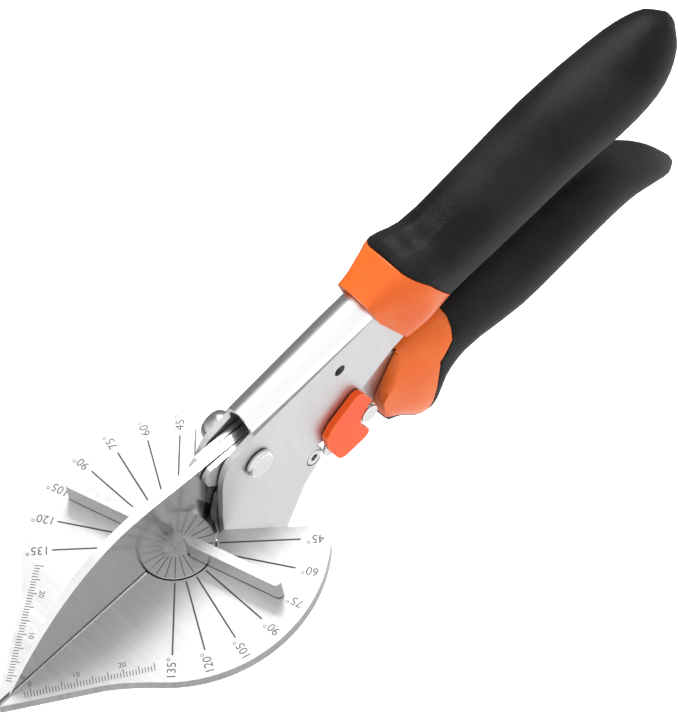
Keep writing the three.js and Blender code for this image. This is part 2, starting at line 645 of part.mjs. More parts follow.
// Lower handle, split in the same way round its finger guard.
const lowerJoint = [[62.4, -13.2], [66, -17.4], [69.4, -22.4], [72.6, -23], [75.4, -13], [77.8, -4], [82.6, 0], [84.8, 5], [85, 12]];
const lowerFront = [[70.4, 12], [70.2, 5.6], [61.2, -5.4], [60.9, -11.4]];
const lowerHollow = sidePlate(outline([[50, 12], [70, 4.9 + gap], [75.2, 1.5 + gap], [leverTangEndY + gap, 1.5 + gap],
  [leverTangEndY + gap, -7 - gap], [76, -7 - gap], [latchPinY, latchPinZ - legRadius - gap - 0.4], [50, -20]]),
  -cheekOuter - gap, cheekOuter + gap);
const lowerHandle = handle(lowerSections, 34).subtract(lowerHollow);
add('lower_collar', lowerHandle
  .intersect(sidePlate(outline([...lowerFront, ...lowerJoint]), -20, 20)), orangePlastic, lever);
const lowerGripFront = [[62.4, -13.2 - gap], [65.8, -17.4 - gap], [69.2, -22.4 - gap - 0.1], [72.9, -23 - gap], [75.7, -13],
  [78.1, -4 - gap], [82.9, 0 - gap], [85.1, 5], [85.3, 12]];
add('lower_grip', lowerHandle
  .intersect(sidePlate(outline([...lowerGripFront, [175, 12], [175, -40], [62.4, -40]]), -20, 20)), blackRubber, lever);

// ---- Safety latch: steel plate, moulded thumb grip and the pin they turn on --------------------

const latch = new THREE.Group();
lever.add(latch);
const tongueY = catchY + catchRadius + 2.6;
const tongueZ = catchZ;
const barSlope = (latchPinZ - tongueZ) / (latchPinY - tongueY);
add('latch_plate', sidePlate(stadium(tongueY, tongueZ, latchPinY, latchPinZ, latchBarHalfWidth),
  latchInner, latchInner + latchPlateThickness)
  .subtract(crossPin(latchPinY, latchPinZ, latchPinRadius + gap, 0, 10, 16)), satinSteel, latch);

// The thumb grip's outline is drawn from the pin.
const latchGripSide = new THREE.Shape();
latchGripSide.moveTo(-13.3, 5);
latchGripSide.lineTo(-10.9, 7.4);
latchGripSide.lineTo(-2.7, 11.2);
latchGripSide.quadraticCurveTo(-0.7, 11.4, 0.1, 9.2);
latchGripSide.lineTo(1.5, 4.8);
latchGripSide.lineTo(-1.3, 3);
latchGripSide.quadraticCurveTo(-3.9, 0.6, -2.7, -2.4);
latchGripSide.lineTo(-1.3, -5.4);
latchGripSide.quadraticCurveTo(-1.3, -7, -3.1, -7.4);
latchGripSide.lineTo(-8.9, -7.8);
latchGripSide.quadraticCurveTo(-11.3, -7.6, -11.9, -5.2);
latchGripSide.lineTo(-13.5, 0.2);
const pocketX = latchInner + latchPlateThickness + gap;
add('latch_grip', sidePlate(latchGripSide, latchInner, latchInner + latchGripThickness, 6)
  .translate([0, latchPinY, latchPinZ])
  .subtract(sidePlate(stadium(tongueY - 6, tongueZ - 6 * barSlope, latchPinY + 4, latchPinZ + 4 * barSlope,
    latchBarHalfWidth + gap), 0, pocketX)),
  latchPlastic, latch);

const pinHeadUnder = latchInner + latchPlateThickness + gap;
add('latch_pin', crossPin(latchPinY, latchPinZ, latchPinRadius, -cheekOuter, pinHeadUnder + 0.1, 20)
  .add(crossPin(latchPinY, latchPinZ, latchPinHeadRadius, pinHeadUnder, pinHeadUnder + latchPinHeadHeight, 24)), chrome, lever);

export default tool;
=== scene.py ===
import json
import math

import bmesh
import bpy
from mathutils import Matrix, Vector

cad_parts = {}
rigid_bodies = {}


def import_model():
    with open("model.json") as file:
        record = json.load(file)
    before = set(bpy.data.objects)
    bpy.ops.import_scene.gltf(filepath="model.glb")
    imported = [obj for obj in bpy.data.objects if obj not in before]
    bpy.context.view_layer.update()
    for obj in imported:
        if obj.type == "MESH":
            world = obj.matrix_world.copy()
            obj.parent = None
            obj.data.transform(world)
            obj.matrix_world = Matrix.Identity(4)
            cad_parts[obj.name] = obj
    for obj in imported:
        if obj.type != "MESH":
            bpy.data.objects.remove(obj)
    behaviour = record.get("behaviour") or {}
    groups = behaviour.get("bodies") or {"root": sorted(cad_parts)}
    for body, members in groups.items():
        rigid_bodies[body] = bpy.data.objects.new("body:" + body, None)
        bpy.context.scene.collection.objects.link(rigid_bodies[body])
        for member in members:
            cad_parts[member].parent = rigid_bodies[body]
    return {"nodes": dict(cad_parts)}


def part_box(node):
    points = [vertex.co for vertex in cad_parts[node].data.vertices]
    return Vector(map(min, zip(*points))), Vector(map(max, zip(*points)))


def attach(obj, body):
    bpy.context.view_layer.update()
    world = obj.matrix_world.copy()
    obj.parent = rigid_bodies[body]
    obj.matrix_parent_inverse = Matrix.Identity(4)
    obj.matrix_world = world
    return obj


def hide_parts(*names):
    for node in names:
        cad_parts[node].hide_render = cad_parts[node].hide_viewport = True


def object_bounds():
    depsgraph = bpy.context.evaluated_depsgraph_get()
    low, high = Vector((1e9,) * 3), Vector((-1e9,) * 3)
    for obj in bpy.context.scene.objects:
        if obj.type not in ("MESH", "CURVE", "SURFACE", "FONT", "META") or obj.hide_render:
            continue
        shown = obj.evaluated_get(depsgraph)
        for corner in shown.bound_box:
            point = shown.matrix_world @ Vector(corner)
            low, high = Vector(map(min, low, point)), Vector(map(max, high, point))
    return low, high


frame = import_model()
cadBox = [list(corner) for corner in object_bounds()]
nodes = frame["nodes"]
bodyOf = {name: node.parent.name.split(":")[1] for name, node in nodes.items()}
mm = 0.001

# Centre of the protractor, on the plate's top face
discLow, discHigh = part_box("turntable_disc")
plateCentre = Vector(((discLow.x + discHigh.x) / 2, (discLow.y + discHigh.y) / 2, discHigh.z))

# Camera and studio

view = {
    "azimuth": 58.9, "elevation": 59.1, "roll": 14.6,      # degrees
    "distance": 2.5, "height": 0.1696,                     # metres
    "aimRight": 0.03836, "aimUp": 0.04348,                 # protractor's centre to the middle of the view
    "sensorWidth": 36, "clip": (0.05, 20),
}
floorLook = {
    "gap": 0.085,                                          # clear of the lower handle when it is open
    "halfWidth": 3, "roughness": 0.9, "specular": 0.1,
    "colour": (0.92, 0.92, 0.92, 1), "glow": 0.6,
    "fadeX": (-0.10, 0.01), "fadeLevels": (0.12, 0.72),    # reflections of it turn dark on the left
}
room = {
    "strength": 1.08,
    "darkSide": (-0.95, 0.27, 0.15),                       # makes the dark band in the chrome
    "lit": (0.41, (1, 1, 1, 1)), "dim": (0.90, (0.20, 0.20, 0.205, 1)),
}
lights = {                                                 # place, size, power, aim
    "keyLight": ((-0.20, -0.02, 0.40), 0.24, 0.06, (-0.03, -0.03, 0.02)),
    "gripLight": ((-0.25, 0.36, 0.45), 0.34, 3.0, (0, 0.09, 0.05)),
}


def makeCamera():
    a, e, roll = (math.radians(view[k]) for k in ("azimuth", "elevation", "roll"))
    right = Vector((math.cos(a), math.sin(a), 0))
    up = Vector((-math.sin(a) * math.sin(e), math.cos(a) * math.sin(e), math.cos(e)))
    imageRight = math.cos(roll) * right - math.sin(roll) * up
    imageUp = math.sin(roll) * right + math.cos(roll) * up
    back = imageRight.cross(imageUp)
    aim = plateCentre + view["aimRight"] * imageRight + view["aimUp"] * imageUp
    data = bpy.data.cameras.new("shearCamera")
    data.sensor_width = view["sensorWidth"]
    data.lens = view["sensorWidth"] * view["distance"] / view["height"]
    data.clip_start, data.clip_end = view["clip"]
    camera = bpy.data.objects.new("shearCamera", data)
    turn = Matrix((imageRight, imageUp, back)).transposed().to_4x4()
    camera.matrix_world = Matrix.Translation(aim + view["distance"] * back) @ turn
    bpy.context.scene.collection.objects.link(camera)
    bpy.context.scene.camera = camera


def softLight(name, place, size, power, aim):
    data = bpy.data.lights.new(name, "AREA")
    data.shape, data.size, data.energy = "DISK", size, power
    light = bpy.data.objects.new(name, data)
    light.location = place
    light.rotation_euler = (Vector(aim) - Vector(place)).to_track_quat("-Z", "Y").to_euler()
    bpy.context.scene.collection.objects.link(light)


def floorPaper():
    material = bpy.data.materials.new("floorPaper")
    material.use_nodes = True
    tree = material.node_tree
    shader = tree.nodes["Principled BSDF"]
    shader.inputs["Roughness"].default_value = floorLook["roughness"]
    shader.inputs["Specular IOR Level"].default_value = floorLook["specular"]
    shader.inputs["Emission Strength"].default_value = floorLook["glow"]
    place = tree.nodes.new("ShaderNodeTexCoord")
    split = tree.nodes.new("ShaderNodeSeparateXYZ")
    tree.links.new(place.outputs["Object"], split.inputs["Vector"])
    across = tree.nodes.new("ShaderNodeMapRange")
    across.inputs["From Min"].default_value, across.inputs["From Max"].default_value = floorLook["fadeX"]
    across.inputs["To Min"].default_value, across.inputs["To Max"].default_value = floorLook["fadeLevels"]
    tree.links.new(split.outputs["X"], across.inputs["Value"])
    seen = tree.nodes.new("ShaderNodeMath")
    seen.operation = "MAXIMUM"
    tree.links.new(across.outputs["Result"], seen.inputs[0])
    tree.links.new(tree.nodes.new("ShaderNodeLightPath").outputs["Is Camera Ray"], seen.inputs[1])
    level = tree.nodes.new("ShaderNodeMix")
    level.data_type = "RGBA"
    level.inputs[6].default_value = (0, 0, 0, 1)
    level.inputs[7].default_value = floorLook["colour"]
    tree.links.new(seen.outputs["Value"], level.inputs[0])
    tree.links.new(level.outputs[2], shader.inputs["Base Color"])
    tree.links.new(level.outputs[2], shader.inputs["Emission Color"])
    return material


def makeFloor():
    bm = bmesh.new()
    bmesh.ops.create_grid(bm, x_segments=1, y_segments=1, size=floorLook["halfWidth"])
    bmesh.ops.translate(bm, verts=bm.verts, vec=(0, 0, cadBox[0][2] - floorLook["gap"]))
    data = bpy.data.meshes.new("studioFloor")
    bm.to_mesh(data)
    bm.free()
    data.materials.append(floorPaper())
    floor = bpy.data.objects.new("studioFloor", data)
    bpy.context.scene.collection.objects.link(floor)


def makeRoom():
    world = bpy.data.worlds.new("studioRoom")
    bpy.context.scene.world = world
    world.use_nodes = True
    tree = world.node_tree
    background = tree.nodes["Background"]
    background.inputs["Strength"].default_value = room["strength"]
    direction = tree.nodes.new("ShaderNodeTexCoord")
    dot = tree.nodes.new("ShaderNodeVectorMath")
    dot.operation = "DOT_PRODUCT"
    dot.inputs[1].default_value = Vector(room["darkSide"]).normalized()
    ramp = tree.nodes.new("ShaderNodeValToRGB")
    for element, (position, colour) in zip(ramp.color_ramp.elements, (room["lit"], room["dim"])):
        element.position = position
        element.color = colour
    tree.links.new(direction.outputs["Generated"], dot.inputs[0])
    tree.links.new(dot.outputs["Value"], ramp.inputs["Fac"])
    tree.links.new(ramp.outputs["Color"], background.inputs["Color"])


makeCamera()
makeFloor()
makeRoom()
for name, (place, size, power, aim) in lights.items():
    softLight(name, place, size, power, aim)
bpy.context.scene.view_settings.view_transform = "Standard"
print("camera and studio made")

# Shared effects

grain = {                                                  # noises: scale, detail, roughness
    "fineStreaks": (1.0, 4, 0.65), "broadStreaks": (0.13, 2), "steelClouds": (0.02, 2),
    "fineShare": 0.7, "broadShare": 0.3,
    "wearPatches": (900, 3), "wearGain": 1.6,
    "speckleDetail": 3, "speckleRoughness": 0.6, "skinClouds": (55, 3),
    "cellShare": 0.5, "speckleShare": 0.5,
}

def newGroup(name, inputs, outputs):
    group = bpy.data.node_groups.new(name, "ShaderNodeTree")
    for socketName, kind, value in inputs:
        made = group.interface.new_socket(name=socketName, in_out="INPUT", socket_type=kind)
        if value is not None:
            made.default_value = value
    for socketName, kind in outputs:
        group.interface.new_socket(name=socketName, in_out="OUTPUT", socket_type=kind)
    return group, group.nodes.new("NodeGroupInput"), group.nodes.new("NodeGroupOutput")


def mathNode(tree, operation, first, second, clamp=False):
    made = tree.nodes.new("ShaderNodeMath")
    made.operation, made.use_clamp = operation, clamp
    for socket, value in zip(made.inputs, (first, second)):
        if isinstance(value, (int, float)):
            socket.default_value = value
        else:
            tree.links.new(value, socket)
    return made.outputs["Value"]


def noiseNode(tree, vector, scale, detail, roughness=0.5):
    made = tree.nodes.new("ShaderNodeTexNoise")
    made.inputs["Detail"].default_value = detail
    made.inputs["Roughness"].default_value = roughness
    tree.links.new(vector, made.inputs["Vector"])
    if isinstance(scale, (int, float)):
        made.inputs["Scale"].default_value = scale
    else:
        tree.links.new(scale, made.inputs["Scale"])
    return made.outputs["Fac"]


# Long scratches from a belt or a wheel; the vector comes in already stretched
streakGroup, groupIn, groupOut = newGroup(
    "brushedStreaks", [("Vector", "NodeSocketVector", None)],
    [("Streaks", "NodeSocketFloat"), ("Clouds", "NodeSocketFloat")])
fine = noiseNode(streakGroup, groupIn.outputs["Vector"], *grain["fineStreaks"])
broad = noiseNode(streakGroup, groupIn.outputs["Vector"], *grain["broadStreaks"])
mixed = mathNode(streakGroup, "ADD", mathNode(streakGroup, "MULTIPLY", fine, grain["fineShare"]),
                 mathNode(streakGroup, "MULTIPLY", broad, grain["broadShare"]))
clouds = noiseNode(streakGroup, groupIn.outputs["Vector"], *grain["steelClouds"])
streakGroup.links.new(mixed, groupOut.inputs["Streaks"])
streakGroup.links.new(clouds, groupOut.inputs["Clouds"])

# Rubbed edges: the piece's "edge" attribute, broken up by noise
wearGroup, groupIn, groupOut = newGroup(
    "edgeWear", [("Vector", "NodeSocketVector", None), ("Edge", "NodeSocketFloat", 0.0)],
    [("Wear", "NodeSocketFloat")])
patches = noiseNode(wearGroup, groupIn.outputs["Vector"], *grain["wearPatches"])
lifted = mathNode(wearGroup, "MULTIPLY", patches, grain["wearGain"], clamp=True)
worn = mathNode(wearGroup, "MULTIPLY", lifted, groupIn.outputs["Edge"], clamp=True)
wearGroup.links.new(worn, groupOut.inputs["Wear"])

# Fine pebbled skin of moulded rubber and plastic, with slow cloudiness
skinGroup, groupIn, groupOut = newGroup(
    "mouldedSkin", [("Vector", "NodeSocketVector", None), ("Scale", "NodeSocketFloat", 2500.0)],
    [("Pebbles", "NodeSocketFloat"), ("Clouds", "NodeSocketFloat")])
cells = skinGroup.nodes.new("ShaderNodeTexVoronoi")
skinGroup.links.new(groupIn.outputs["Vector"], cells.inputs["Vector"])
skinGroup.links.new(groupIn.outputs["Scale"], cells.inputs["Scale"])
speckle = noiseNode(skinGroup, groupIn.outputs["Vector"], groupIn.outputs["Scale"],
                    grain["speckleDetail"], grain["speckleRoughness"])
pebbles = mathNode(
    skinGroup, "ADD", mathNode(skinGroup, "MULTIPLY", cells.outputs["Distance"], grain["cellShare"]),
    mathNode(skinGroup, "MULTIPLY", speckle, grain["speckleShare"]))
clouds = noiseNode(skinGroup, groupIn.outputs["Vector"], *grain["skinClouds"])
skinGroup.links.new(pebbles, groupOut.inputs["Pebbles"])
skinGroup.links.new(clouds, groupOut.inputs["Clouds"])
print("shared effects made")

# Finishes


def useGroup(tree, group, **values):
    made = tree.nodes.new("ShaderNodeGroup")
    made.node_tree = group
    for name, value in values.items():
        if isinstance(value, (int, float)):
            made.inputs[name].default_value = value
        else:
            tree.links.new(value, made.inputs[name])
    return made


def rangeNode(tree, value, low, high, fromLow=0.3, fromHigh=0.7):
    made = tree.nodes.new("ShaderNodeMapRange")
    limits = {"From Min": fromLow, "From Max": fromHigh, "To Min": low, "To Max": high}
    for name, number in limits.items():
        made.inputs[name].default_value = number
    tree.links.new(value, made.inputs["Value"])
    return made.outputs["Result"]


def mixColour(tree, factor, first, second):
    made = tree.nodes.new("ShaderNodeMix")
    made.data_type = "RGBA"
    tree.links.new(factor, made.inputs[0])
    for socket, value in ((made.inputs[6], first), (made.inputs[7], second)):
        if isinstance(value, tuple):
            socket.default_value = value
        else:
            tree.links.new(value, socket)
    return made.outputs[2]


def grey(level, tint=0.0):
    return (level, level, level * (1 + tint), 1)


def startMaterial(name):
    material = bpy.data.materials.new(name)
    material.use_nodes = True
    tree = material.node_tree
    place = tree.nodes.new("ShaderNodeTexCoord").outputs["Object"]
    return material, tree, tree.nodes["Principled BSDF"], place


def wornEdges(tree, place):
    edgeValue = tree.nodes.new("ShaderNodeAttribute")
    edgeValue.attribute_name = "edge"
    return useGroup(tree, wearGroup, Vector=place, Edge=edgeValue.outputs["Fac"]).outputs["Wear"]


def raiseSurface(tree, shader, height, strength, distance):
    raised = tree.nodes.new("ShaderNodeBump")
    raised.inputs["Strength"].default_value = strength
    raised.inputs["Distance"].default_value = distance
    tree.links.new(height, raised.inputs["Height"])
    tree.links.new(raised.outputs["Normal"], shader.inputs["Normal"])


metalLook = {
    "edgeGain": 1.12,                 # worn edges against the lighter steel, where no edge colour is given
    "cloudiness": 0.04,               # slow change of roughness, up and down
    "edgePolish": 0.5,                # share of the roughness that worn edges lose
    "streakDepth": 0.03 * mm,
}


def metalFinish(name, dark, light, roughness, stretch, bump, edge=None):
    material, tree, shader, place = startMaterial(name)
    shader.inputs["Metallic"].default_value = 1.0
    stretched = tree.nodes.new("ShaderNodeMapping")
    stretched.inputs["Scale"].default_value = stretch
    tree.links.new(place, stretched.inputs["Vector"])
    streaks = useGroup(tree, streakGroup, Vector=stretched.outputs["Vector"])
    wear = wornEdges(tree, place)
    surface = mixColour(tree, rangeNode(tree, streaks.outputs["Streaks"], 0, 1), dark, light)
    wornColour = edge or grey(min(1, light[0] * metalLook["edgeGain"]))
    tree.links.new(mixColour(tree, wear, surface, wornColour), shader.inputs["Base Color"])
    rough = rangeNode(tree, streaks.outputs["Streaks"], roughness[0], roughness[1])
    clouds = rangeNode(tree, streaks.outputs["Clouds"], -metalLook["cloudiness"], metalLook["cloudiness"])
    rubbed = mathNode(tree, "MULTIPLY", wear, roughness[0] * metalLook["edgePolish"])
    polished = mathNode(tree, "SUBTRACT", mathNode(tree, "ADD", rough, clouds), rubbed, clamp=True)
    tree.links.new(polished, shader.inputs["Roughness"])
    raiseSurface(tree, shader, streaks.outputs["Streaks"], bump, metalLook["streakDepth"])
    return material


mouldedLook = {
    "coatRoughness": 0.12,
    "blotches": (0, 0.75, 0.35, 0.65), "speckles": (0, 0.25, 0.2, 0.6),   # low, high, fromLow, fromHigh
}


def mouldedFinish(name, dark, light, roughness, scale, bump, depth, coat=0.0, specular=0.2, edge=None):
    material, tree, shader, place = startMaterial(name)
    shader.inputs["Coat Weight"].default_value = coat
    shader.inputs["Specular IOR Level"].default_value = specular
    shader.inputs["Coat Roughness"].default_value = mouldedLook["coatRoughness"]
    skin = useGroup(tree, skinGroup, Vector=place, Scale=scale)
    wear = wornEdges(tree, place)
    blotches = rangeNode(tree, skin.outputs["Clouds"], *mouldedLook["blotches"])
    speckles = rangeNode(tree, skin.outputs["Pebbles"], *mouldedLook["speckles"])
    surface = mixColour(tree, mathNode(tree, "ADD", blotches, speckles, clamp=True), dark, light)
    tree.links.new(mixColour(tree, wear, surface, edge or light), shader.inputs["Base Color"])
    rough = rangeNode(tree, skin.outputs["Clouds"], roughness[0], roughness[1])
    tree.links.new(rough, shader.inputs["Roughness"])
    raiseSurface(tree, shader, skin.outputs["Pebbles"], bump, depth)
    return material


# Metals: dark, light, roughness, how the streaks are stretched, bump strength
finishes = {
    "plate": metalFinish("brushedPlateSteel", grey(0.55), grey(0.66), (0.30, 0.40),
                         (90, 5200, 5200), 0.16, edge=grey(0.80)),
    # darker steel for the plate's sides and the blade's groove: painted shade
    "rimAndGrooveShade": metalFinish("cutPlateRim", grey(0.26), grey(0.40), (0.32, 0.44),
                       (700, 700, 200), 0.12, edge=grey(0.50)),
    "wall": metalFinish("satinWallSteel", grey(0.56, 0.02), grey(0.63, 0.03), (0.34, 0.44),
                        (700, 700, 90), 0.10),
    "chrome": metalFinish("chromeBack", grey(0.86), grey(0.91), (0.22, 0.27),
                          (500, 40, 500), 0.03),
    "blade": metalFinish("groundBladeSteel", grey(0.43), grey(0.51), (0.14, 0.22),
                         (300, 3600, 110), 0.08, edge=grey(0.85)),
    # the up-facing spine gets much lighter steel than the blade's sides: a painted highlight
    "spine": metalFinish("polishedBladeSpine", grey(0.84), grey(0.92), (0.22, 0.32),
                         (900, 120, 900), 0.06),
    "hardware": metalFinish("brightHardware", grey(0.60), grey(0.72), (0.20, 0.30),
                            (500, 500, 500), 0.08),
    # darker steel for inner parts; on the body channel's ledge it is painted shade under the round back
    "dark": metalFinish("darkInnerSteel", grey(0.26), grey(0.36), (0.38, 0.5),
                        (400, 400, 400), 0.15),
    "fence": metalFinish("fenceBarSteel", grey(0.56), grey(0.66), (0.26, 0.34),
                         (900, 900, 4200), 0.06),
}

# Plastics, rubber and ink: dark, light, roughness, grain scale, bump strength, grain depth
finishes.update({
    "collar": mouldedFinish("orangeCollar", (0.74, 0.105, 0.008, 1), (0.84, 0.180, 0.034, 1), (0.26, 0.38),
                            1400, 0.10, 0.03 * mm, coat=0.06, edge=(0.88, 0.24, 0.06, 1)),
    "latch": mouldedFinish("orangeLatch", (0.86, 0.060, 0.004, 1), (0.95, 0.100, 0.010, 1), (0.26, 0.36),
                           1500, 0.10, 0.03 * mm, coat=0.06, edge=(0.98, 0.20, 0.05, 1)),
    "grip": mouldedFinish("blackGripRubber", (0.0010, 0.0011, 0.0012, 1), (0.014, 0.0143, 0.0148, 1),
                          (0.50, 0.62), 1500, 0.80, 0.14 * mm, specular=0.15, edge=(0.03, 0.03, 0.031, 1)),
    "ink": mouldedFinish("etchedInk", (0.055, 0.055, 0.058, 1), (0.13, 0.13, 0.135, 1), (0.5, 0.65),
                         5000, 0.3, 0.01 * mm),
})
print("finishes made:", len(finishes))

# CAD pieces, carried over with rounded edges

rounding = {
    "edgeAngle": 32, "dissolveAngle": 0.4, "shadeAngle": 38,   # degrees
    "segments": 2, "weld": 0.002 * mm,
}


def cleanCopy(name, dissolve=True):
    bm = bmesh.new()
    bm.from_mesh(nodes[name].data)
    bmesh.ops.remove_doubles(bm, verts=bm.verts, dist=rounding["weld"])
    if dissolve:
        bmesh.ops.dissolve_limit(bm, angle_limit=math.radians(rounding["dissolveAngle"]), verts=bm.verts,
                                 edges=bm.edges, use_dissolve_boundaries=False, delimit=set())
    return bm


def roundEdges(bm, width):
    layer = bm.faces.layers.float.new("edge")
    limit = math.radians(rounding["edgeAngle"])
    sharp = [e for e in bm.edges if len(e.link_faces) == 2 and e.calc_face_angle(0) > limit]
    made = bmesh.ops.bevel(bm, geom=sharp, offset=width, offset_type="OFFSET", profile=0.5,
                           segments=rounding["segments"], affect="EDGES", material=-1, clamp_overlap=True)
    for face in made["faces"]:
        if face.is_valid:
            face[layer] = 1.0


def finishPiece(bm, pieceName, materials, weighted=True):
    data = bpy.data.meshes.new(pieceName)
    bm.to_mesh(data)
    bm.free()
    for face in data.polygons:
        face.use_smooth = True
    data.set_sharp_from_angle(angle=math.radians(rounding["shadeAngle"]))
    for material in materials:
        data.materials.append(material)
    piece = bpy.data.objects.new(pieceName, data)
    bpy.context.scene.collection.objects.link(piece)
    if weighted:
        normals = piece.modifiers.new("evenNormals", "WEIGHTED_NORMAL")
        normals.keep_sharp = True
    return piece


# A darker steel goes on faces steeper than this and in the groove that the blade closes into: painted
# shade on the plate's sides and under the blade
plateShadeZones = {"steep": 0.35, "grooveHalfWidth": 0.95 * mm}


def paintPlateShade(bm):
    for face in bm.faces:
        middle = face.calc_center_median()
        inGroove = abs(middle.x) < plateShadeZones["grooveHalfWidth"] and middle.y < plateCentre.y
        if abs(face.normal.z) < plateShadeZones["steep"] or inGroove:
            face.material_index = 1


def carryOver(name, finish, width):
    bm = cleanCopy(name)
    roundEdges(bm, width)
    materials = [finishes[finish]]
    if name == "protractor_plate":
        # the plate's sides and the blade's groove get painted shade
        paintPlateShade(bm)
        materials.append(finishes["rimAndGrooveShade"])
    piece = finishPiece(bm, name + "_rounded", materials)
    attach(piece, bodyOf[name])
    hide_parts(name)


# Node, finish, slot and width of the rounded edges in millimetres
carried = [
    ("protractor_plate", "plate", "brushed_plate", 0.35),
    ("plate_carrier", "dark", "dark_steel", 0.15),
    ("turntable_disc", "fence", "satin_steel", 0.12),
    ("fence_bar_right", "fence", "satin_steel", 0.45),
    ("fence_bar_left", "fence", "satin_steel", 0.45),
    ("turntable_washer", "hardware", "bright_hardware", 0.12),
    ("turntable_nut", "hardware", "bright_hardware", 0.2),
    ("pivot_bolt", "hardware", "bright_hardware", 0.25),
    ("pivot_washer", "hardware", "bright_hardware", 0.12),
    ("pivot_nut", "hardware", "bright_hardware", 0.3),
    ("carrier_rivet_front", "hardware", "bright_hardware", 0.25),
    ("carrier_rivet_rear", "hardware", "bright_hardware", 0.25),
    ("latch_catch", "hardware", "bright_hardware", 0.12),
    ("latch_pin", "hardware", "bright_hardware", 0.2),
    ("latch_plate", "hardware", "satin_steel", 0.1),
    ("latch_grip", "latch", "latch_plastic", 0.5),
    ("lever_cheek_left", "wall", "satin_steel", 0.12),
    ("lever_cheek_right", "wall", "satin_steel", 0.12),
    ("lever_spacer", "dark", "dark_steel", 0.1),
    ("lever_rivet_1", "hardware", "bright_hardware", 0.1),
    ("lever_rivet_2", "hardware", "bright_hardware", 0.1),
    ("blade_drive_pin", "hardware", "bright_hardware", 0.1),
    ("spring_seat", "hardware", "satin_steel", 0.1),
]
for number in (1, 2, 3, 4):
    carried.append((f"plate_screw_{number}", "hardware", "bright_hardware", 0.12))
for name, finish, slotName, width in carried:
    carryOver(name, finish, width * mm)
print("carried over with rounded edges:", len(carried))

bm = cleanCopy("return_spring", dissolve=False)
springPiece = finishPiece(bm, "return_spring_smooth", [finishes["hardware"]])
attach(springPiece, "frame")
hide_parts("return_spring")

# Body channel: satin walls and a chromed round back

channel = {
    "creaseFront": (2.5 * mm, 48.1 * mm), "creaseRear": (42.0 * mm, 51.9 * mm),   # (y, z) along the crease
    "edgeWidth": 0.15 * mm,
    "creaseWidth": 0.5 * mm, "creaseTilt": 0.2,            # the ledge under the round back gets the dark finish: painted shade under the overhang
}


def creaseHeight(y):
    (y0, z0), (y1, z1) = channel["creaseFront"], channel["creaseRear"]
    return z0 + (z1 - z0) * min(1, max(0, (y - y0) / (y1 - y0)))


bm = cleanCopy("body_channel")
roundEdges(bm, channel["edgeWidth"])
for face in bm.faces:
    middle = face.calc_center_median()
    above = middle.z - creaseHeight(middle.y)
    if above > 0:
        face.material_index = 1
    # the ledge just under the crease gets the dark finish: a painted shade line below the chrome back
    elif above > -channel["creaseWidth"] and abs(face.normal.z) > channel["creaseTilt"]:
        face.material_index = 2
channelFinishes = [finishes[name] for name in ("wall", "chrome", "dark")]
channelPiece = finishPiece(bm, "body_channel_rounded", channelFinishes)
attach(channelPiece, "frame")
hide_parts("body_channel")
print("body channel made")

# Blade

# Faces that look up, and less than spineTilt to the side, are the spine; their lighter steel is a painted
# highlight on the blade's top
bladeShape = {"edgeWidth": 0.10 * mm, "spineTilt": 0.5, "spineRise": 0.15}

bm = cleanCopy("blade")
roundEdges(bm, bladeShape["edgeWidth"])
for face in bm.faces:
    if abs(face.normal.x) < bladeShape["spineTilt"] and face.normal.z > bladeShape["spineRise"]:
        face.material_index = 1
bladePiece = finishPiece(bm, "blade_ground", [finishes["blade"], finishes["spine"]])
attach(bladePiece, "lever")
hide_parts("blade")
print("blade made")

# Handles

# Thumb dimple of the upper grip and the low lip before it: middle, radius and rise
gripFeatures = [
    (Vector((0.6, 61, 61)) * mm, 2.6 * mm, -1.3 * mm),
    (Vector((-2.5, 57, 61)) * mm, 4.0 * mm, 0.5 * mm),
]
gripDetail = {
    "cuts": 3, "cutWithin": 12 * mm, "longEdge": 0.8 * mm,   # long edges near the dimple are cut up
    "reach": 3, "topTilt": 0.3,                              # in radii, and on the part that faces up
}


def pressFeatures(bm):
    dimple = gripFeatures[0][0]
    near = [e for e in bm.edges if (e.verts[0].co - dimple).length < gripDetail["cutWithin"]
            and e.calc_length() > gripDetail["longEdge"]]
    bmesh.ops.subdivide_edges(bm, edges=near, cuts=gripDetail["cuts"], use_grid_fill=True)
    bmesh.ops.triangulate(bm, faces=bm.faces)
    bm.normal_update()
    for vert in bm.verts:
        for middle, radius, rise in gripFeatures:
            away = (vert.co - middle).length / radius
            if away < gripDetail["reach"] and vert.normal.z > gripDetail["topTilt"]:
                vert.co += vert.normal * rise * math.exp(-away * away)


def handlePiece(name, finish, dimpled=False):
    bm = cleanCopy(name, dissolve=False)
    if dimpled:
        pressFeatures(bm)
    piece = finishPiece(bm, name + "_moulded", [finishes[finish]], weighted=False)
    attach(piece, bodyOf[name])
    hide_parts(name)


handlePiece("upper_collar", "collar")
handlePiece("upper_grip", "grip", dimpled=True)
handlePiece("lower_collar", "collar")
handlePiece("lower_grip", "grip")
print("handles made")

# Protractor marks, numerals and edge rulers

marks = {
    "angles": (45, 60, 75, 90, 105, 120, 135),             # degrees from the back of the plate, each side
    "from": 10.3 * mm, "to": 29.6 * mm, "width": 0.42 * mm,
    "labelAt": 33.1 * mm, "labelSize": 3.1 * mm, "curveSteps": 4,
    "thickness": 0.03 * mm, "proud": 0.3, "weld": 0.001 * mm,   # proud is a share of the thickness
}
